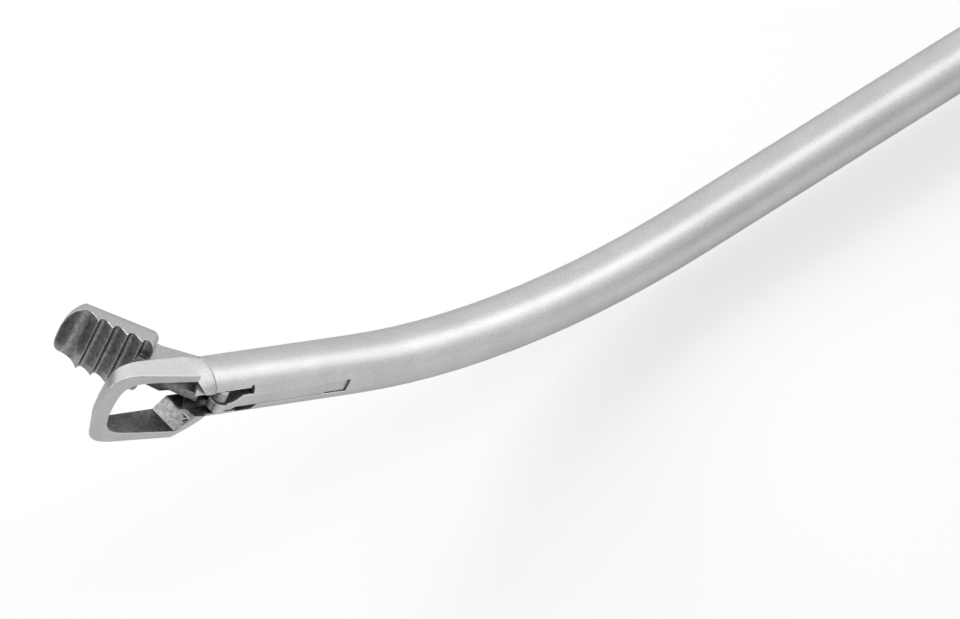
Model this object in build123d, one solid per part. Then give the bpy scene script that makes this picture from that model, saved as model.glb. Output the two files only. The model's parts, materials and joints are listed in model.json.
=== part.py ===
from build123d import *
import os
from math import asin, atan2, cos, degrees, radians, sin, sqrt

# Arthroscopic punch, left curved, lying on its right side. Millimetres.
# The rear straight of the shaft runs along X with the handle at the +X end.
# +Z is the instrument's left, +Y its upper side, where the jaw opens.
# The tip pieces are drawn in a tip frame: x forward, y left, z up on the instrument.

# Shaft
shaft_r = 1.75
bore_r = 1.15
tip_straight = 11.0
bend_r = 51.0
bend_deg = 30.8
rear_straight = 86.0
handle_thick = 6.4

# Running clearances
pin_gap = 0.03
side_gap = 0.05
link_gap = 0.04

# Front of the shaft
front_low_f = 3.98
front_low_u = 1.24
front_high_f = 1.68
front_high_u = 1.21
window_left = 0.80
window_right = 1.05
window_back = 0.80
window_back_right = 1.54
roof_half = 0.95
roof_back = -0.12
slot_half = 0.45
slot_skin = 0.12
notch_r = 0.14

# Jaw pivot and drive
pivot_f = 0.69
pivot_u = 0.97
pivot_pin_r = 0.30
open_deg = 53.0
closed_deg = 7.0
link_arm = 2.35
link_start_deg = 22.0
link_pin_r = 0.24
eye_gap = 0.06
link_head_r = 0.42
link_head_h = 0.14
link_notch = 0.16

# Ring jaw
ring_hole_half = 1.84
ring_hole_back = 4.45
ring_hole_front = 10.08
ring_hole_nose = 2.30
ring_wall = 0.78
ring_rear_wall = 0.48
ring_top_wall = 0.26
ring_rear_top_wall = 0.12
ring_tip_wall = 1.17
ring_nose = 2.40
ring_lean = 1.00
ring_top = 0.66
ring_base_drop = 2.0475
ring_slope = 0.124
ring_flare = 0.75
ring_flare_low = 1.15
shoulder_back = 2.40
shoulder_front = 4.90
shoulder_r = 2.85
shoulder_left_f = 4.50
shoulder_left_r = 2.15
nose_handle = 0.80

# Upper jaw
jaw_side_gap = 0.09
jaw_tip = 8.92
jaw_back = 3.50
jaw_rear_round = 0.45
jaw_rear_lean = 0.14
jaw_corner = 0.65
jaw_nose = 2.10
jaw_round = 2.80
jaw_round_power = 2.4
jaw_height = 3.40
tooth_plane = 2.94
tooth_pitch = 0.94
tooth_first = 7.02
tooth_count = 4
tooth_depth = 0.46
tooth_lean = 0.04
scoop_depth = 0.80
scoop_end = 8.86
neck_half = 0.72
neck_hub_r = 0.56
neck_high = -0.82
neck_web = 0.40
heel_f = 2.10
heel_lift = 0.03
blade_back = -0.07
blade_low = -2.74
blade_left = 0.10
blade_right = 0.42
tail_thick = 0.58
tail_r = 0.46

# Drawbar
bar_r = 0.95
strip_top = 0.75
eye_half = 0.50
eye_thick = 0.62
neck_left_f = 0.0
neck_right_f = 0.3
neck_run = 0.8
neck_step = 0.25
strip_foot = 1.04
step_gap = 0.03
strip_sink = 0.02
joint_gap = 0.06

# Handle
lever = 7.0
cheek = 1.7
pivot_screw_r = 2.0
screw_head_r = 3.7
screw_head_h = 1.2
screw_slot = 0.8
washer_r = 4.4
washer_h = 0.4
nut_r = 3.1
nut_h = 0.9
stud_r = 1.3
block_length = 12.0
body_top = 6.0
body_low = 11.0
cheek_r = 7.6
shaft_grip = 9.0
pivot_back = 20.0
arm_root_extra = 2.0
arm_root_sink = 3.0
rod_room = 0.4
pin_end_gap = 0.3
finger_hole_r = 10.5
thumb_hole_r = 11.0
ring_bar = 5.0
arm_width = 7.0
finger_ring_x = -17.0
finger_ring_y = -46.0
thumb_ring_x = 30.0
thumb_ring_y = -44.0
thumb_side_gap = 0.4
arm_step = 0.7
edge_round = 1.6
corner_round = 5.0
ferrule_r = 3.2
ferrule_tip_r = 2.2
ferrule_length = 12.0
tongue_thick = 1.0
tongue_r = 1.7
tongue_reach = 3.2
tongue_room = 1.0
rod_pin_r = 0.9
rod_pin_gap = 0.07
rod_end_r = 1.5
rod_end_length = 3.6
locknut_length = 1.4
head_lobe_r = 2.4
bush_length = 1.6
bush_gap = 0.04
set_screw_r = 1.2
set_screw_drop = 0.4
stop_pin_r = 0.8
stop_pin_out = 6.2
touch_gap = 0.05

# Values worked out from the sizes above
bend = radians(bend_deg)
axis_z = handle_thick / 2
link_swing = radians(open_deg - closed_deg)
link_start = radians(link_start_deg)
travel = link_arm * (sin(link_start) + sin(link_swing - link_start))
squeeze = 2 * asin(travel / 2 / lever)
tip_forward = Vector(-cos(bend), 0, sin(bend))
bend_start = Vector(-bend_r * sin(bend), 0, axis_z + bend_r * (1 - cos(bend)))
tip_origin = bend_start + tip_forward * tip_straight
tip = Plane(origin=tip_origin, x_dir=tip_forward, z_dir=(0, 1, 0))
bend_axis = Axis((0, 0, axis_z + bend_r), (0, 1, 0))
jaw_plane = Location((pivot_f, 0, pivot_u), (0, 1, 0), -open_deg)
body_front = rear_straight - shaft_grip
pivot_x = body_front + pivot_back
pivot_y = -lever * cos(squeeze / 2)
rod_pin_x = pivot_x - lever * sin(squeeze / 2)
slot_length = tip_straight - travel - link_gap
link_f = pivot_f + link_arm * sin(link_start)
link_u = pivot_u - link_arm * cos(link_start)


def x_rod(radius, x0, x1):
    """Round rod along X between two stations."""
    return Pos((x0 + x1) / 2, 0, 0) * Rot(0, 90, 0) * Cylinder(radius, abs(x1 - x0))


def y_pin(radius, y0, y1, x=0.0, z=0.0):
    """Round pin along Y between two stations."""
    return Pos(x, (y0 + y1) / 2, z) * Rot(90, 0, 0) * Cylinder(radius, abs(y1 - y0))


def z_pin(radius, z0, z1, x=0.0, y=0.0):
    """Round pin along Z between two stations."""
    return Pos(x, y, (z0 + z1) / 2) * Cylinder(radius, abs(z1 - z0))


def block(x0, x1, y0, y1, z0, z1):
    """Box between two corners."""
    return Pos((x0 + x1) / 2, (y0 + y1) / 2, (z0 + z1) / 2) * Box(x1 - x0, y1 - y0, z1 - z0)


def side_plate(points, y0, y1):
    """Plate between two stations of Y with a straight sided outline in x and z."""
    face = make_face(Polyline(*[(x, y1, z) for x, z in points], close=True))
    return extrude(face, amount=y1 - y0, dir=(0, -1, 0))


def bent_rod(radius, start, end):
    """Round bar along the bend, between two arc lengths from its rear end."""
    face = Plane(origin=(0, 0, axis_z), z_dir=(-1, 0, 0)) * Circle(radius)
    face = face.rotate(bend_axis, degrees(start / bend_r))
    return revolve(face, bend_axis, degrees((end - start) / bend_r))


def in_tip(shape):
    return tip.location * shape


def half_nose(half, front, depth):
    """Curve from a side wall round to the middle of a blunt nose."""
    start = (front - depth, half)
    return Bezier(start, (front - depth + nose_handle * depth, half), (front, nose_handle * half), (front, 0))


def plan(edges):
    """Face from the left half of a plan outline and its mirror image."""
    half = Wire(edges)
    return make_face(Wire(list(edges) + [e for e in mirror(half, Plane.XZ).edges()]))


def shaft_tube():
    """Tube with the bend, open at the front, with the drawbar's slot below."""
    end = rear_straight
    outer = Pos(0, 0, axis_z) * x_rod(shaft_r, 0, end) + bent_rod(shaft_r, 0, bend_r * bend)
    outer += in_tip(x_rod(shaft_r, -tip_straight, front_low_f + shaft_r))
    bore = Pos(0, 0, axis_z) * x_rod(bore_r, 0, end) + bent_rod(bore_r, 0, bend_r * bend)
    bore += in_tip(x_rod(bore_r, -tip_straight, front_low_f + shaft_r))
    far = 4 * shaft_r
    slot = block(-slot_length, 0, -slot_half, slot_half, -far, 0)
    slot += block(-tip_straight, -slot_length, -slot_half, slot_half, slot_skin - shaft_r, 0)
    notch = z_pin(notch_r, -far, 0, notch_r - window_back, window_left)
    pin_hole = y_pin(pivot_pin_r, -shaft_r, shaft_r, pivot_f, pivot_u)
    return outer - bore - in_tip(front_openings(far) + slot + notch + pin_hole)


def front_openings(far):
    """What is cut from the tube's front: the slanted end, the window below and the roof slot."""
    openings = side_plate(front_cut(far), -far, far)
    openings += block(-window_back, far, 0, window_left, -far, 0)
    openings += block(-window_back_right, far, -window_right, 0, -far, 0)
    openings += block(roof_back, far, -roof_half, roof_half, 0, far)
    return openings


def front_cut(far):
    """Outline of what lies ahead of the shaft's slanted front end."""
    run = (front_low_f - front_high_f) / (front_low_u + front_high_u)
    low = front_low_f + run * (far - front_low_u)
    high = front_high_f - run * (far - front_high_u)
    return [(low, -far), (far * 4, -far), (far * 4, far), (high, far)]


def ring_outline(front, half, rear_half):
    """Outer plan outline of the ring jaw at one level."""
    return [
        Line((0, 0), (0, rear_half)),
        Line((0, rear_half), (shoulder_front, rear_half)),
        Line((shoulder_front, rear_half), (front - ring_nose, half)),
        half_nose(half, front, ring_nose),
    ]


def ring_hole(flare):
    """Plan outline of the window in the ring, with its narrow rear end behind a flare."""
    neck = ring_hole_back - flare
    return [
        Line((0, 0), (0, window_left)),
        Line((0, window_left), (neck, window_left)),
        Line((neck, window_left), (ring_hole_back, ring_hole_half)),
        Line((ring_hole_back, ring_hole_half), (ring_hole_front - ring_hole_nose, ring_hole_half)),
        half_nose(ring_hole_half, ring_hole_front, ring_hole_nose),
    ]


def ring_jaw():
    """Fixed lower jaw: an open ring that narrows into the shaft's front end.

    Its outer walls lean back and inwards towards the top, its window is cut straight through."""
    far = 8 * shaft_r
    front = ring_hole_front + ring_tip_wall
    near_front = ring_slope * front - ring_base_drop
    low_front = front + ring_lean * (near_front + shaft_r)
    high_front = low_front - 2 * shaft_r * ring_lean
    low_face = plan(ring_outline(low_front, ring_hole_half + ring_wall, ring_hole_half + ring_rear_wall))
    rise = 2 * shaft_r / (ring_top + shaft_r)
    high_half = ring_hole_half + ring_wall + (ring_top_wall - ring_wall) * rise
    high_rear = ring_hole_half + ring_rear_wall + (ring_rear_top_wall - ring_rear_wall) * rise
    high_face = plan(ring_outline(high_front, high_half, high_rear))
    body = loft([Pos(0, 0, -shaft_r) * low_face, Pos(0, 0, shaft_r) * high_face], ruled=True)
    body &= side_plate([(0, -ring_base_drop), (far, ring_slope * far - ring_base_drop), (far, ring_top),
                        (0, ring_top)], -far, far)
    body &= ring_room(far)
    low_window = Pos(0, 0, -shoulder_r) * plan(ring_hole(ring_flare_low))
    high_window = Pos(0, 0, shaft_r) * plan(ring_hole(ring_flare))
    body -= loft([low_window, high_window], ruled=True)
    body -= x_rod(shaft_r, -far, front_low_f + shaft_r) - front_openings(far)
    body -= x_rod(bore_r, -far, ring_hole_back - ring_flare)
    return in_tip(body)


def ring_room(far):
    """Space the ring may fill: a cone behind each shoulder, slimmer on the left, and all that is ahead."""
    room = x_rod(shaft_r, 0, shoulder_back)
    sides = ((shoulder_front, shoulder_r, -far, 0), (shoulder_left_f, shoulder_left_r, 0, far))
    for front, radius, y0, y1 in sides:
        length = front - shoulder_back
        cone = Pos((shoulder_back + front) / 2, 0, 0) * Rot(0, 90, 0) * Cone(shaft_r, radius, length)
        room += cone & block(0, far, y0, y1, -far, far)
        room += block(front, far, y0, y1, -far, far)
    return room


def jaw_outline(front):
    """Plan outline of the upper jaw's head with its nose at a given station."""
    half = ring_hole_half - jaw_side_gap
    back = jaw_back - jaw_rear_lean
    return [
        Line((back, 0), (back, half - jaw_corner)),
        Bezier((back, half - jaw_corner), (back, half), (back + jaw_corner, half)),
        Line((back + jaw_corner, half), (front - jaw_nose, half)),
        half_nose(half, front, jaw_nose),
    ]


def arch_cutter(front, back, points):
    """Cutter for one groove: an arch above the tooth plane, open below it."""
    far = 4 * shaft_r
    base = -tooth_plane
    arch = [(front, base), *[(front - x, base + z) for x, z in points], (back, base)]
    edges = [Bezier(*[(x, 0, z) for x, z in arch])]
    edges.append(Polyline((back, 0, base), (back, 0, -far), (front, 0, -far), (front, 0, base)))
    return extrude(make_face(edges), amount=far, both=True)


def tooth_cutters():
    """Long scoop at the nose, then a row of hooked grooves with steep front walls."""
    length = scoop_end - tooth_first
    scoop = [(length * 0.51, scoop_depth * 1.65), (length * 0.76, scoop_depth)]
    cutters = [arch_cutter(scoop_end, tooth_first, scoop)]
    hook = [(tooth_lean, tooth_depth * 1.9), (tooth_pitch * 0.5, tooth_depth * 1.15)]
    for i in range(tooth_count):
        peak = tooth_first - i * tooth_pitch
        cutters.append(arch_cutter(peak, peak - tooth_pitch, hook))
    return cutters


def head_room(far):
    """Space for the head in the closed jaw: the shaft's round with a rounded rear rim, open below its axis."""
    rear = pivot_f + jaw_back * cos(radians(closed_deg))
    rod = x_rod(shaft_r - link_gap, rear, far * 3)
    rod = fillet(rod.edges().sort_by(Axis.X)[0], jaw_rear_round)
    return rod + block(rear, far * 3, -far, far, -far, 0)


def upper_jaw():
    """Moving jaw: toothed head, neck on the pivot and a tail on the link pin."""
    far = 4 * shaft_r
    levels = 5
    faces = []
    for i in range(levels):
        h = jaw_height * i / (levels - 1)
        back = jaw_round * (1 - sqrt(1 - (h / jaw_height) ** jaw_round_power))
        faces.append(Pos(0, 0, -tooth_plane + h) * plan(jaw_outline(jaw_tip - back)))
    head = loft(faces)
    closed = Location((0, 0, 0), (0, 1, 0), closed_deg)
    head &= closed * Pos(-pivot_f, 0, -pivot_u) * head_room(far)
    for cutter in tooth_cutters():
        head -= cutter
    neck_end = jaw_back + jaw_corner
    heel_low = heel_lift - tooth_plane
    web_f = jaw_back - neck_web
    web_low = neck_hub_r + (neck_high - neck_hub_r) * web_f / neck_end
    neck = side_plate([(0, -neck_hub_r), (heel_f, heel_low), (neck_end, heel_low), (neck_end, neck_high + neck_web),
                       (jaw_back, neck_high + neck_web), (web_f, web_low), (0, neck_hub_r)], -neck_half, neck_half)
    neck += side_plate([(blade_back, blade_low), (heel_f, heel_low), (heel_f, -neck_hub_r), (0, 0)],
                       -blade_right, blade_left)
    neck += y_pin(neck_hub_r, -neck_half, neck_half)
    jaw = head + neck + tail_plate(side_gap / 2, side_gap / 2 + tail_thick)
    jaw -= y_pin(pivot_pin_r + pin_gap, -far, far)
    link_x, link_z = link_in_jaw()
    jaw -= y_pin(link_pin_r, -far, far, link_x, link_z)
    return in_tip(jaw_plane * jaw)


def link_in_jaw():
    """Place of the link pin in the jaw's own frame, with the pivot as origin."""
    turn = radians(open_deg)
    df = link_f - pivot_f
    du = link_u - pivot_u
    return df * cos(turn) + du * sin(turn), du * cos(turn) - df * sin(turn)


def tail_plate(y0, y1):
    """Plate that joins the pivot hub to the link pin's eye, with tangent sides."""
    x, z = link_in_jaw()
    away = atan2(z, x)
    spread = degrees(asin((neck_hub_r - tail_r) / link_arm))
    side = radians(90 - spread)
    points = []
    for cx, cz, r, sign in ((0, 0, neck_hub_r, 1), (x, z, tail_r, 1), (x, z, tail_r, -1), (0, 0, neck_hub_r, -1)):
        points.append((cx + r * cos(away + sign * side), cz + r * sin(away + sign * side)))
    return side_plate(points, y0, y1) + y_pin(tail_r, y0, y1, x, z) + y_pin(neck_hub_r, y0, y1)


def jaw_pivot_pin():
    return in_tip(y_pin(pivot_pin_r, -shaft_r, shaft_r, pivot_f, pivot_u) & x_rod(shaft_r, -shaft_r, 3 * shaft_r))


def jaw_link_pin():
    """Link pin with a notched round head on the tail's side."""
    left = side_gap / 2 + tail_thick
    pin = y_pin(link_pin_r, -side_gap / 2 - eye_thick, left, link_f, link_u)
    head = y_pin(link_head_r, left, left + link_head_h, link_f, link_u)
    notch = block(link_f - 2 * link_head_r, link_f, left + link_head_h / 2, far_left(), link_u - link_notch / 2,
                  link_u + link_notch / 2)
    return in_tip(pin + head - notch)


def far_left():
    """A station well to the left of every piece of the tip."""
    return 2 * shaft_r


def front_drawbar():
    """Strip in the shaft's slot, with the eye for the link pin ahead and a round foot behind."""
    eye_y0 = -side_gap / 2 - eye_thick
    eye_y1 = -side_gap / 2
    high = pivot_u - link_arm * cos(link_swing - link_start)
    low = pivot_u - link_arm
    eye = y_pin(eye_half, eye_y0, eye_y1, link_f, high) + y_pin(eye_half, eye_y0, eye_y1, link_f, low)
    eye += block(link_f - eye_half, link_f + eye_half, eye_y0, eye_y1, low, high)
    half = slot_half - link_gap
    strip_back = -slot_length + travel + link_gap
    step_back = -tip_straight + travel + link_gap
    foot_back = -tip_straight + joint_gap / 2
    outline = [(strip_back, half), (neck_left_f, half), (neck_left_f + neck_run, eye_y1), (link_f, eye_y1),
               (link_f, eye_y0), (neck_right_f + neck_step, eye_y0), (neck_right_f, -half), (strip_back, -half)]
    strip = extrude(Plane.XY.offset(-shaft_r) * make_face(Polyline(*outline, close=True)),
                    amount=shaft_r - strip_top, dir=(0, 0, 1))
    bar = strip & x_rod(shaft_r - strip_sink, strip_back, link_f)
    bar += block(step_back, strip_back, -half, half, slot_skin + step_gap - shaft_r, -strip_top)
    bar += block(foot_back, step_back, -half, half, -strip_foot, -strip_top)
    bar += eye + x_rod(bar_r, foot_back, step_back + 2 * bar_r)
    hole = link_pin_r + eye_gap
    slot = y_pin(hole, -shaft_r, shaft_r, link_f, high) + y_pin(hole, -shaft_r, shaft_r, link_f, low)
    slot += block(link_f - hole, link_f + hole, -shaft_r, shaft_r, low, high)
    return in_tip(bar - slot)


def curved_drawbar():
    return bent_rod(bar_r, joint_gap / 2, bend_r * bend - joint_gap / 2)


def on_axis(shape):
    """Lift a piece drawn about the X axis to the shaft's rear axis."""
    return Pos(0, 0, axis_z) * shape


def hex_bar(radius, x0, x1):
    """Hexagon bar along X, with its corners at the radius."""
    face = Plane.YZ.offset(x0) * RegularPolygon(radius, 6)
    return extrude(face, amount=x1 - x0)


def rear_rod():
    """Pull rod in the straight of the shaft, up to its end fitting."""
    return on_axis(x_rod(bar_r, joint_gap / 2, rod_pin_x - tongue_reach - rod_end_length / 2))


def rod_end():
    """Fitting on the pull rod with a flat tongue for the cross pin."""
    x1 = rod_pin_x - tongue_reach
    x0 = x1 - rod_end_length
    body = x_rod(rod_end_r, x0, x1)
    tongue = z_pin(tongue_r, -tongue_thick / 2, tongue_thick / 2, rod_pin_x, 0)
    tongue += block(x1 - 0.5, rod_pin_x, -rod_end_r, rod_end_r, -tongue_thick / 2, tongue_thick / 2)
    body += tongue
    body -= x_rod(bar_r, x0, x0 + rod_end_length / 2)
    return on_axis(body - z_pin(rod_pin_r, -shaft_r, shaft_r, rod_pin_x, 0))


def rod_locknut():
    x1 = rod_pin_x - tongue_reach - rod_end_length
    nut = hex_bar(rod_end_r, x1 - locknut_length, x1)
    return on_axis(nut - x_rod(bar_r, x1 - locknut_length, x1))


def rod_end_pin():
    inside = handle_thick - 2 * cheek - 4 * side_gap
    return on_axis(z_pin(rod_pin_r, -inside / 2, inside / 2, rod_pin_x, 0))


def guide_bush():
    bush = x_rod(shaft_r, rear_straight, rear_straight + bush_length)
    return on_axis(bush - x_rod(bar_r + bush_gap, rear_straight, rear_straight + bush_length))


def ferrule():
    """Tapered collar that carries the shaft into the handle."""
    x0 = body_front - ferrule_length
    mid = body_front - ferrule_length / 3
    profile = [
        Line((x0, shaft_r), (x0, ferrule_tip_r)),
        Bezier((x0, ferrule_tip_r), (x0 + ferrule_length / 3, ferrule_tip_r), (mid - ferrule_length / 4, ferrule_r),
               (mid, ferrule_r)),
        Line((mid, ferrule_r), (body_front, ferrule_r)),
        Line((body_front, ferrule_r), (body_front, shaft_r)),
        Line((body_front, shaft_r), (x0, shaft_r)),
    ]
    return on_axis(revolve(make_face(profile), Axis.X, 360))


def arm(x0, y0, x1, y1, w0, w1):
    """Tapered straight arm between two points, as a flat outline."""
    along = Vector(x1 - x0, y1 - y0, 0).normalized()
    across = Vector(-along.Y, along.X, 0)
    start = Vector(x0, y0, 0)
    end = Vector(x1, y1, 0)
    corners = [start + across * w0 / 2, end + across * w1 / 2, end - across * w1 / 2, start - across * w0 / 2]
    return make_face(Polyline(*corners, close=True))


def round_inner_corners(outline, centre, ring_r):
    """Round the corners where an arm runs into its ring."""
    near = [v for v in outline.vertices() if abs((Vector(v.X, v.Y, 0) - centre).length - ring_r) < 0.01]
    return fillet(near, corner_round)


def soften(solid, z_low, z_high):
    """Round the long edges of the two flat faces."""
    edges = [e for e in solid.edges() if abs(e.center().Z - z_low) < 0.01 or abs(e.center().Z - z_high) < 0.01]
    return fillet(edges, edge_round)


def ring_plan(centre_x, centre_y, hole_r, w0, from_x, from_y, extra):
    """Ring, its arm and whatever carries the arm, as one outline."""
    outer = hole_r + ring_bar
    reach = Vector(from_x - centre_x, from_y - centre_y, 0).normalized() * hole_r
    outline = arm(from_x, from_y, centre_x + reach.X, centre_y + reach.Y, w0, arm_width - 1)
    outline = Sketch() + outline + Pos(centre_x, centre_y) * Circle(outer)
    outline = round_inner_corners(outline, Vector(centre_x, centre_y, 0), outer)
    return outline + extra - Pos(centre_x, centre_y) * Circle(hole_r)


def fixed_handle():
    """Front handle with the finger ring and the two cheeks of the pivot."""
    ring_x = pivot_x + finger_ring_x
    ring_y = pivot_y + finger_ring_y
    front = Pos(body_front + block_length / 2, (body_top - body_low) / 2) * Rectangle(block_length, body_top + body_low)
    lobe = Pos(pivot_x, pivot_y) * Circle(cheek_r)
    upper = Pos(pivot_x - cheek_r + body_top / 2, 0) * Circle(body_top)
    body = make_hull((Sketch() + front + lobe + upper).edges())
    outline = ring_plan(ring_x, ring_y, finger_hole_r, arm_width + arm_root_extra, body_front + block_length / 2,
                        arm_root_sink - body_low, body)
    solid = soften(extrude(outline, amount=handle_thick), 0, handle_thick)
    far = pivot_x + 2 * pivot_back
    gap = block(body_front + block_length, far, -far, far, cheek, handle_thick - cheek)
    solid -= gap
    solid -= on_axis(x_rod(shaft_r, body_front, rear_straight + bush_length))
    solid -= on_axis(x_rod(rod_end_r + rod_room, rear_straight + bush_length, far))
    solid -= z_pin(pivot_screw_r, nut_h, handle_thick, pivot_x, pivot_y)
    solid -= z_pin(nut_r, 0, nut_h, pivot_x, pivot_y)
    solid -= y_pin(set_screw_r, shaft_r, far, body_front + shaft_grip / 2, axis_z)
    x, y = stop_pin_place()
    return solid - z_pin(stop_pin_r, pin_end_gap, handle_thick - pin_end_gap, x, y)


def stop_pin_place():
    """The pin lies behind the thumb arm's rear side at rest."""
    out = (arm_width + 1) / 2 + stop_pin_r + touch_gap
    along = sqrt(stop_pin_out ** 2 - out ** 2)
    aim = atan2(thumb_ring_y, thumb_ring_x)
    return pivot_x + along * cos(aim) - out * sin(aim), pivot_y + along * sin(aim) + out * cos(aim)


def open_stop_pin():
    x, y = stop_pin_place()
    return z_pin(stop_pin_r, pin_end_gap, handle_thick - pin_end_gap, x, y)


def thumb_handle():
    """Rear handle with the thumb ring, turning between the cheeks."""
    ring_x = pivot_x + thumb_ring_x
    ring_y = pivot_y + thumb_ring_y
    hub = Sketch() + Pos(pivot_x, pivot_y) * Circle(arm_width / 2 + 0.5)
    outline = ring_plan(ring_x, ring_y, thumb_hole_r, arm_width + 1, pivot_x, pivot_y, hub)
    reach = cheek_r + arm_step
    thick = outline - Pos(pivot_x, pivot_y) * Circle(reach)
    z0 = thumb_side_gap
    z1 = handle_thick - thumb_side_gap
    solid = soften(Pos(0, 0, z0) * extrude(thick, amount=z1 - z0), z0, z1)
    t0 = cheek + side_gap
    t1 = handle_thick - t0
    thin = outline & Pos(pivot_x, pivot_y) * Circle(reach + 2 * edge_round)
    lobe = make_hull((Sketch() + hub + Pos(rod_pin_x, 0) * Circle(head_lobe_r)).edges())
    solid += Pos(0, 0, t0) * extrude(thin + lobe, amount=t1 - t0)
    solid -= z_pin(pivot_screw_r + pin_gap, -1, handle_thick + 1, pivot_x, pivot_y)
    solid -= z_pin(rod_pin_r + rod_pin_gap, -1, handle_thick + 1, rod_pin_x, 0)
    half = tongue_thick / 2 + side_gap
    room = tongue_r + tongue_room
    return solid - block(rod_pin_x - 2 * lever, rod_pin_x + room, -room, 2 * lever, axis_z - half, axis_z + half)


def pivot_screw():
    """Slotted screw: head, shoulder and the stud that takes the nut."""
    top = handle_thick + washer_h
    screw = z_pin(screw_head_r, top, top + screw_head_h, pivot_x, pivot_y)
    screw = fillet(screw.edges().group_by(Axis.Z)[-1], screw_head_h / 2)
    screw += z_pin(pivot_screw_r, nut_h, top, pivot_x, pivot_y)
    screw += z_pin(stud_r, 0.1, nut_h, pivot_x, pivot_y)
    cut = block(-screw_head_r, screw_head_r, -screw_slot / 2, screw_slot / 2, top + screw_head_h / 2, 2 * top)
    return screw - Pos(pivot_x, pivot_y, 0) * Rot(0, 0, 25) * cut


def pivot_washer():
    washer = z_pin(washer_r, handle_thick, handle_thick + washer_h, pivot_x, pivot_y)
    return washer - z_pin(pivot_screw_r, 0, 2 * handle_thick, pivot_x, pivot_y)


def pivot_nut():
    nut = z_pin(nut_r, 0.1, nut_h, pivot_x, pivot_y) - z_pin(stud_r, 0, nut_h, pivot_x, pivot_y)
    for side in (-1, 1):
        nut -= z_pin(0.45, 0, 0.6, pivot_x + side * (nut_r + stud_r) / 2, pivot_y)
    return nut


def shaft_set_screw():
    x = body_front + shaft_grip / 2
    screw = y_pin(set_screw_r, shaft_r, body_top - set_screw_drop, x, axis_z)
    socket = Plane.XZ.offset(-body_top) * Pos(x, axis_z) * RegularPolygon(set_screw_r * 0.55, 6)
    return screw - extrude(socket, amount=1.6)


os.makedirs("parts", exist_ok=True)
makers = [
    shaft_tube, ring_jaw, upper_jaw, jaw_pivot_pin, jaw_link_pin, front_drawbar, curved_drawbar,
    rear_rod, rod_end, rod_locknut, rod_end_pin, guide_bush, ferrule, fixed_handle, thumb_handle,
    pivot_screw, pivot_washer, pivot_nut, shaft_set_screw, open_stop_pin,
]
pieces = {maker.__name__: maker() for maker in makers}
boxes = [piece.bounding_box() for piece in pieces.values()]
middle_x = (min(box.min.X for box in boxes) + max(box.max.X for box in boxes)) / 2
middle_y = (min(box.min.Y for box in boxes) + max(box.max.Y for box in boxes)) / 2
lowest = min(box.min.Z for box in boxes)
to_origin = Pos(-middle_x, -middle_y, -lowest)
for name, shape in pieces.items():
    export_step(to_origin * shape, f"parts/{name}.step")
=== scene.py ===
import bpy
import json
from math import cos, radians, sin
from mathutils import Matrix, Vector

# Arthroscopic punch. Metres, in the row frame: +X towards the handle, +Z up, the instrument's left.

# Camera, from the photograph
FRAME_PX = (960, 619)
AZIMUTH = radians(-38.6)
ELEVATION = radians(51.2)
LENS_MM = 400.0
SENSOR_MM = 36.0
PX_PER_M = 17120.0
PIVOT_PX = (205.6, 374.1)

# Steels: linear colour, roughness, depth of the speckle's tone, bump height in metres
STEELS = {
    "shaft_steel": ((0.66, 0.66, 0.65), 0.34, 0.24, 0.000005),
    "jaw_steel": ((0.56, 0.56, 0.55), 0.32, 0.26, 0.000005),
    "bar_steel": ((0.60, 0.60, 0.59), 0.30, 0.20, 0.000003),
    "pin_steel": ((0.66, 0.66, 0.65), 0.24, 0.15, 0.000002),
    "handle_steel": ((0.64, 0.64, 0.63), 0.34, 0.22, 0.000004),
    "screw_steel": ((0.62, 0.62, 0.61), 0.26, 0.15, 0.000002),
}
EDGE_TINT = (0.60, 0.60, 0.60, 1.0)
SPECKLE_M = 0.00009
CLOUD_M = 0.0022
EDGE_M = 0.00009
# Painted highlight: share by which the steel's tone rises along its edges
EDGE_HIGHLIGHT_GAIN = 0.50

# Ring's inner walls and the jaw's toothed faces: darkened by painted shade, with a fine tool grain in it
JAW_OPEN = radians(53.0)
FACE_SHADE_TONE = 0.66
CUT_MARK_M = 0.00025

# Gain of the ring's outer walls: a painted reflection that lightens them
OUTER_WALL_SHEEN = 1.65

# World: where its bright side lies, its two levels, and the bright arc over the shaft
BRIGHT_SIDE = (0.90, 0.30, 0.30)
SIDE_FROM = -0.5
SIDE_TO = 0.6
WORLD_LOW = 0.12
WORLD_HIGH = 1.00
ARC_SIDE = -0.20
ARC_HALF = 0.08
ARC_EDGE = 0.42
ARC_RISE = 0.4
ARC_GAIN = 1.1

# Floor: its own white, and the share that is lit up; towards one corner its glow is dimmed slightly, a
# painted shade
FLOOR_M = 6.0
FLOOR_ALBEDO = 0.85
FLOOR_WHITE_SHARE = 0.55
CORNER_WAY = (0.55, -0.83, 0.0)
CORNER_FROM_M = -0.06
CORNER_TO_M = 0.02
FLOOR_CORNER_SHADE = 0.94

# Key lamp
KEY_PLACE = (-0.36, 0.42, 0.36)
KEY_AIM = (-0.06, 0, 0.01)
KEY_SIZE = (0.3, 0.3)
KEY_WATTS = 2.6

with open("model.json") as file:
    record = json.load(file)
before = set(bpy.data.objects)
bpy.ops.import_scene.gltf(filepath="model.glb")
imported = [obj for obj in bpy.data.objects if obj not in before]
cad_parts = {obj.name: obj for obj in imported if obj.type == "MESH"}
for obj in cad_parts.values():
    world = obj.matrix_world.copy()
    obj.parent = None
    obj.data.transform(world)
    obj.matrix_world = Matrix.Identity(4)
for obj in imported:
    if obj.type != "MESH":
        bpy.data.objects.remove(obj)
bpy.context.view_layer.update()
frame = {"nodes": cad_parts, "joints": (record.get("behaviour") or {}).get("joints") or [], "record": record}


def joint(name):
    return next(j for j in frame["joints"] if j["name"] == name)


def tip_axes():
    """Forward, left and up of the straight tip, in the row frame."""
    forward = -Vector(joint("front_bar_pull")["axis"])
    left = Vector(joint("jaw_close")["axis"])
    return forward, left, forward.cross(left)


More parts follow.
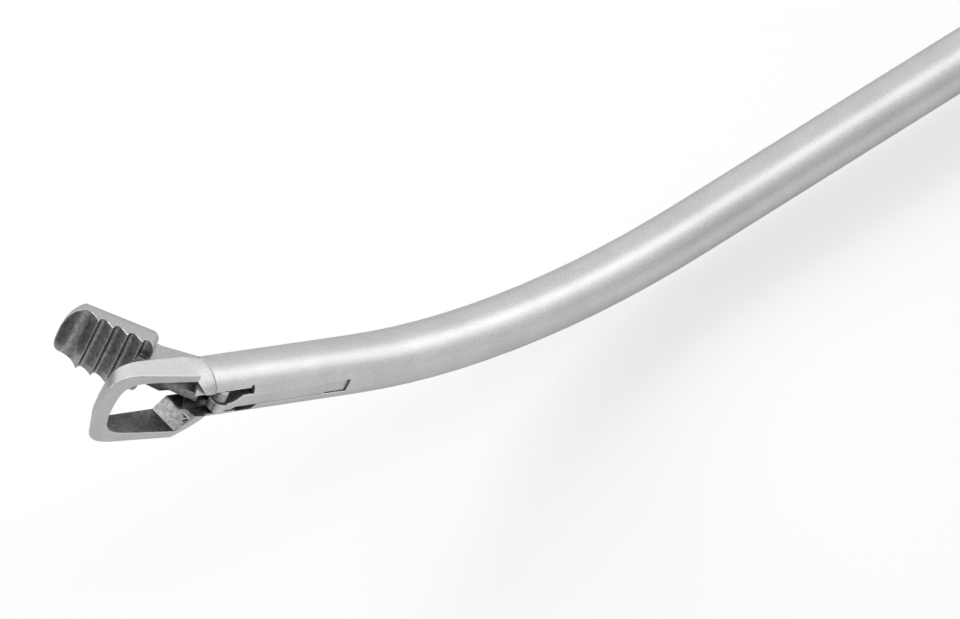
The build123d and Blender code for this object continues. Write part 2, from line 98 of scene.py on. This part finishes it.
class Graph:
    """Short hand for one node tree."""

    def __init__(self, tree):
        self.tree = tree

    def feed(self, socket, value):
        if isinstance(value, bpy.types.NodeSocket):
            self.tree.links.new(value, socket)
        else:
            socket.default_value = value

    def node(self, kind, **values):
        """A node with its sockets and settings filled in; a socket may be given a link."""
        node = self.tree.nodes.new(kind)
        for key, value in values.items():
            if key in node.inputs:
                self.feed(node.inputs[key], value)
            else:
                setattr(node, key, value)
        return node

    def math(self, operation, *values):
        node = self.node("ShaderNodeMath", operation=operation)
        for socket, value in zip(node.inputs, values):
            self.feed(socket, value)
        return node.outputs[0]

    def vector(self, operation, *values):
        node = self.node("ShaderNodeVectorMath", operation=operation)
        for socket, value in zip(node.inputs, values):
            self.feed(socket, value)
        return node.outputs["Value" if operation == "DOT_PRODUCT" else "Vector"]

    def ramp(self, value, low, high, to_low, to_high):
        """Smooth step of a value between two levels."""
        node = self.node("ShaderNodeMapRange", interpolation_type="SMOOTHSTEP")
        for socket, given in zip(node.inputs, (value, low, high, to_low, to_high)):
            self.feed(socket, given)
        return node.outputs["Result"]

    def noise(self, where, size, detail):
        node = self.node("ShaderNodeTexNoise", Vector=where, Scale=1 / size, Detail=detail, Roughness=0.6)
        return node.outputs["Fac"]


def outwardness(graph, where, normal):
    """Metres from the ring's middle line, above zero on its outer walls and below on its inner ones."""
    left = tip_axes()[1]
    pivot = Vector(joint("jaw_close")["pos_m"])
    across = graph.vector("DOT_PRODUCT", graph.vector("SUBTRACT", where, tuple(pivot)), tuple(left))
    return graph.math("MULTIPLY", graph.vector("DOT_PRODUCT", normal, tuple(left)), across)


def ring_insides(graph, where, normal):
    """1 on the walls that face the middle of the ring and on the nose's inner wall."""
    walls = graph.ramp(outwardness(graph, where, normal), -0.0006, -0.0002, 1.0, 0.0)
    ahead = graph.vector("DOT_PRODUCT", normal, tuple(tip_axes()[0]))
    nose = graph.ramp(ahead, -0.7, -0.4, 1.0, 0.0)
    return graph.math("MAXIMUM", walls, nose)


def toothed_face(graph, where, normal):
    """1 on the jaw's faces that look towards its teeth's side."""
    forward, _, up = tip_axes()
    toothward = forward * sin(JAW_OPEN) - up * cos(JAW_OPEN)
    return graph.ramp(graph.vector("DOT_PRODUCT", normal, tuple(toothward)), 0.10, 0.30, 0.0, 1.0)


SHADED_FACES = {"ring_jaw": ring_insides, "upper_jaw": toothed_face}


def steel(name, shade_where, colour, roughness, speckle, height):
    """Satin steel: fine blasted speckle, slow clouds and painted highlights along its edges; painted shade
    darkens the ring's inner walls and the jaw's toothed faces.
    """
    mat = bpy.data.materials.new(name)
    mat.use_nodes = True
    graph = Graph(mat.node_tree)
    shader = mat.node_tree.nodes["Principled BSDF"]
    shader.inputs["Metallic"].default_value = 1.0
    shader.inputs["Specular Tint"].default_value = EDGE_TINT
    space = graph.node("ShaderNodeTexCoord").outputs
    fine = graph.noise(space["Object"], SPECKLE_M, 3.0)
    cloud = graph.noise(space["Object"], CLOUD_M, 3.0)
    soft = graph.node("ShaderNodeBevel", samples=4, Radius=EDGE_M).outputs["Normal"]
    flat = graph.node("ShaderNodeNewGeometry").outputs["Normal"]
    # Painted highlight: the tone rises along the edges, where the rounded normal leaves the flat one
    edge_highlight = graph.ramp(graph.vector("DOT_PRODUCT", soft, flat), 0.93, 0.995, 1.0 + EDGE_HIGHLIGHT_GAIN, 1.0)
    speckles = graph.ramp(fine, 0.25, 0.75, 1.0 - speckle, 1.0)
    clouds = graph.ramp(cloud, 0.3, 0.7, 0.93, 1.0)
    tone = graph.math("MULTIPLY", graph.math("MULTIPLY", speckles, clouds), edge_highlight)
    # Painted shade on the ring's inner walls and the jaw's toothed faces, with a fine tool grain in it
    if shade_where:
        grain = graph.noise(space["Object"], CUT_MARK_M, 4.0)
        shade_and_marks = graph.ramp(grain, 0.3, 0.7, FACE_SHADE_TONE * 0.7, FACE_SHADE_TONE * 1.3)
        shade_mask = shade_where(graph, space["Object"], space["Normal"])
        tone = graph.math("MULTIPLY", tone, graph.ramp(shade_mask, 0.0, 1.0, 1.0, shade_and_marks))
    # Painted reflection: the ring's outer walls are lightened
    if shade_where is ring_insides:
        outside = outwardness(graph, space["Object"], space["Normal"])
        tone = graph.math("MULTIPLY", tone, graph.ramp(outside, 0.0006, 0.0012, 1.0, OUTER_WALL_SHEEN))
    tint = graph.node("ShaderNodeVectorMath", operation="SCALE", Scale=tone)
    tint.inputs[0].default_value = colour
    graph.feed(shader.inputs["Base Color"], tint.outputs["Vector"])
    graph.feed(shader.inputs["Roughness"], graph.ramp(fine, 0.2, 0.8, roughness - 0.04, roughness + 0.10))
    bump = graph.node("ShaderNodeBump", Strength=1.0, Distance=height, Height=fine, Normal=soft)
    graph.feed(shader.inputs["Normal"], bump.outputs["Normal"])
    return mat


def dress_nodes():
    """Give every carried node the steel of its slot; the two jaws' steels darken some faces with painted
    shade as well.
    """
    made = {}
    for row in frame["record"]["subparts"]:
        slot = row["material_slot"]
        shade_where = SHADED_FACES.get(row["node"])
        key = row["node"] if shade_where else slot
        if key not in made:
            made[key] = steel(key, shade_where, *STEELS[slot])
        piece = frame["nodes"][row["node"]]
        piece.data.materials.clear()
        piece.data.materials.append(made[key])


def add_camera():
    """Long lens at the photograph's angle, framed on the jaw's pivot."""
    back = Vector((sin(AZIMUTH) * cos(ELEVATION), -cos(AZIMUTH) * cos(ELEVATION), sin(ELEVATION)))
    right = Vector((cos(AZIMUTH), sin(AZIMUTH), 0))
    up = back.cross(right)
    pivot = Vector(joint("jaw_close")["pos_m"])
    across = (FRAME_PX[0] / 2 - PIVOT_PX[0]) / PX_PER_M
    rise = (PIVOT_PX[1] - FRAME_PX[1] / 2) / PX_PER_M
    distance = FRAME_PX[0] * LENS_MM / SENSOR_MM / PX_PER_M
    data = bpy.data.cameras.new("camera")
    data.lens = LENS_MM
    data.sensor_width = SENSOR_MM
    data.clip_start = 0.01
    data.clip_end = 20.0
    camera = bpy.data.objects.new("camera", data)
    place = pivot + right * across + up * rise + back * distance
    camera.matrix_world = Matrix.Translation(place) @ Matrix((right, up, back)).transposed().to_4x4()
    bpy.context.scene.collection.objects.link(camera)
    bpy.context.scene.camera = camera


def area_light(name, place, aim, size, watts):
    data = bpy.data.lights.new(name, "AREA")
    data.shape = "RECTANGLE"
    data.size, data.size_y = size
    data.energy = watts
    lamp = bpy.data.objects.new(name, data)
    lamp.location = place
    lamp.rotation_euler = (Vector(place) - Vector(aim)).to_track_quat("Z", "Y").to_euler()
    bpy.context.scene.collection.objects.link(lamp)


def floor_material():
    """White paper: camera, mirrored and transmitted rays see it lit up, with the object's shadow kept."""
    mat = bpy.data.materials.new("pale_floor")
    mat.use_nodes = True
    graph = Graph(mat.node_tree)
    mat.node_tree.nodes.remove(mat.node_tree.nodes["Principled BSDF"])
    path = graph.node("ShaderNodeLightPath").outputs
    paper = graph.node("ShaderNodeBsdfDiffuse", Color=(FLOOR_ALBEDO,) * 3 + (1,)).outputs[0]
    where = graph.node("ShaderNodeTexCoord").outputs["Object"]
    # Painted shade: the floor's glow dims slightly towards one corner
    towards = graph.vector("DOT_PRODUCT", where, CORNER_WAY)
    strength = graph.ramp(towards, CORNER_FROM_M, CORNER_TO_M, 1.0, FLOOR_CORNER_SHADE)
    white = graph.node("ShaderNodeEmission", Strength=strength).outputs[0]
    through = graph.math("MAXIMUM", path["Is Glossy Ray"], path["Is Transmission Ray"])
    seen = graph.math("MAXIMUM", path["Is Camera Ray"], through)
    mixed = graph.node("ShaderNodeMixShader", Fac=graph.math("MULTIPLY", seen, FLOOR_WHITE_SHARE))
    graph.feed(mixed.inputs[1], paper)
    graph.feed(mixed.inputs[2], white)
    graph.feed(mat.node_tree.nodes["Material Output"].inputs["Surface"], mixed.outputs[0])
    return mat


def add_stage():
    """Pale floor, and a world with a bright side, an arc over the shaft and a dim side by the tip."""
    bpy.ops.mesh.primitive_plane_add(size=FLOOR_M, location=(0, 0, 0))
    floor = bpy.context.object
    floor.name = "floor"
    floor.data.materials.append(floor_material())
    world = bpy.data.worlds.new("world")
    bpy.context.scene.world = world
    world.use_nodes = True
    graph = Graph(world.node_tree)
    way = graph.node("ShaderNodeTexCoord").outputs["Generated"]
    side = graph.vector("DOT_PRODUCT", way, tuple(Vector(BRIGHT_SIDE).normalized()))
    across = graph.vector("DOT_PRODUCT", way, (0, 1, 0))
    off_arc = graph.math("ABSOLUTE", graph.math("SUBTRACT", across, ARC_SIDE))
    on_side = graph.ramp(graph.vector("DOT_PRODUCT", way, (1, 0, 0)), 0.0, ARC_RISE, 0.0, ARC_GAIN)
    arc = graph.math("MULTIPLY", graph.ramp(off_arc, ARC_HALF, ARC_EDGE, 1.0, 0.0), on_side)
    background = world.node_tree.nodes["Background"]
    level = graph.math("ADD", graph.ramp(side, SIDE_FROM, SIDE_TO, WORLD_LOW, WORLD_HIGH), arc)
    graph.feed(background.inputs["Strength"], level)
    background.inputs["Color"].default_value = (1, 1, 1, 1)


dress_nodes()
add_camera()
add_stage()
area_light("key", KEY_PLACE, KEY_AIM, KEY_SIZE, KEY_WATTS)
bpy.context.scene.view_settings.view_transform = "Standard"
